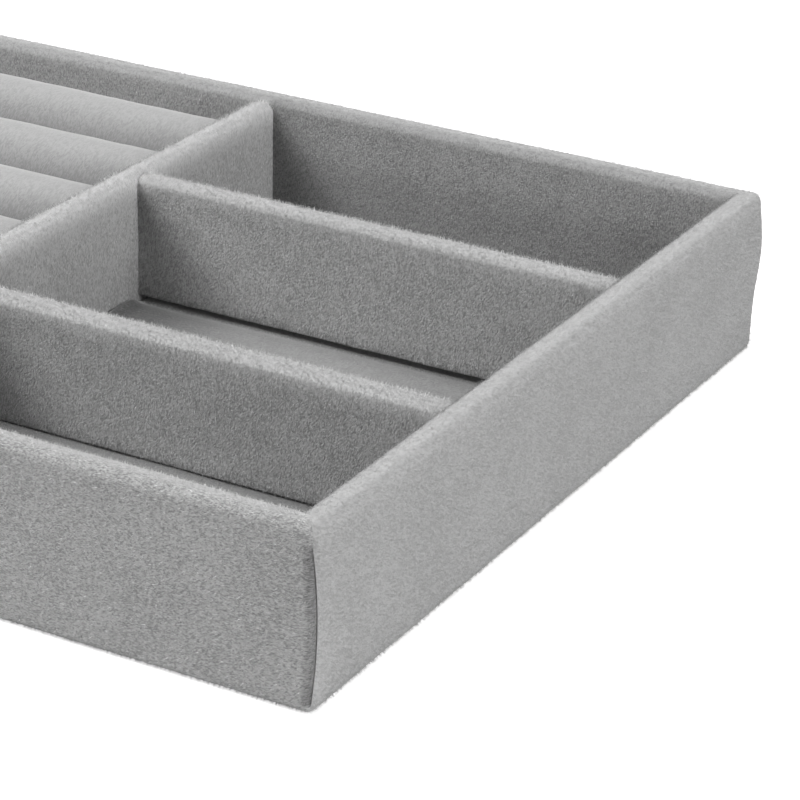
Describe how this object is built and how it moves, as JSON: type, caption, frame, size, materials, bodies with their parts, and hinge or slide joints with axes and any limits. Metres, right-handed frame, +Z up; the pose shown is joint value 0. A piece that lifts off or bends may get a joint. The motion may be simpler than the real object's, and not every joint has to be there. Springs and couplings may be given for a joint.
{
  "type": "jewelry tray",
  "caption": "Shallow velvet-covered tray with softly rounded walls: a bay of foam ring rolls beside open compartments parted by covered dividers.",
  "frame": {"origin": "middle of the underside, on the felt's lower face, which is what the tray rests on", "axes": "+X along the long side, towards the compartments; +Y to the back wall; +Z up out of the open tray"},
  "size_m": [0.35, 0.24, 0.0465],
  "materials": {
    "velvet": "matte",
    "board": "matte",
    "card": "matte",
    "foam": "matte",
    "felt": "matte"
  },
  "bodies": {
    "root": {"back_wall_board": "board", "back_wall_velvet": "velvet", "base_board": "board", "bottom_felt": "felt", "cross_divider_board": "board", "cross_divider_velvet": "velvet", "floor_card": "card", "floor_velvet": "velvet", "front_divider_board": "board", "front_divider_velvet": "velvet", "front_wall_board": "board", "front_wall_velvet": "velvet", "left_wall_board": "board", "left_wall_velvet": "velvet", "rear_divider_board": "board", "rear_divider_velvet": "velvet", "right_wall_board": "board", "right_wall_velvet": "velvet", "ring_bay_card": "card", "ring_roll_1_foam": "foam", "ring_roll_1_velvet": "velvet", "ring_roll_2_foam": "foam", "ring_roll_2_velvet": "velvet", "ring_roll_3_foam": "foam", "ring_roll_3_velvet": "velvet", "ring_roll_4_foam": "foam", "ring_roll_4_velvet": "velvet", "ring_roll_5_foam": "foam", "ring_roll_5_velvet": "velvet", "ring_roll_6_foam": "foam", "ring_roll_6_velvet": "velvet", "ring_roll_7_foam": "foam", "ring_roll_7_velvet": "velvet"}
  },
  "joints": []
}
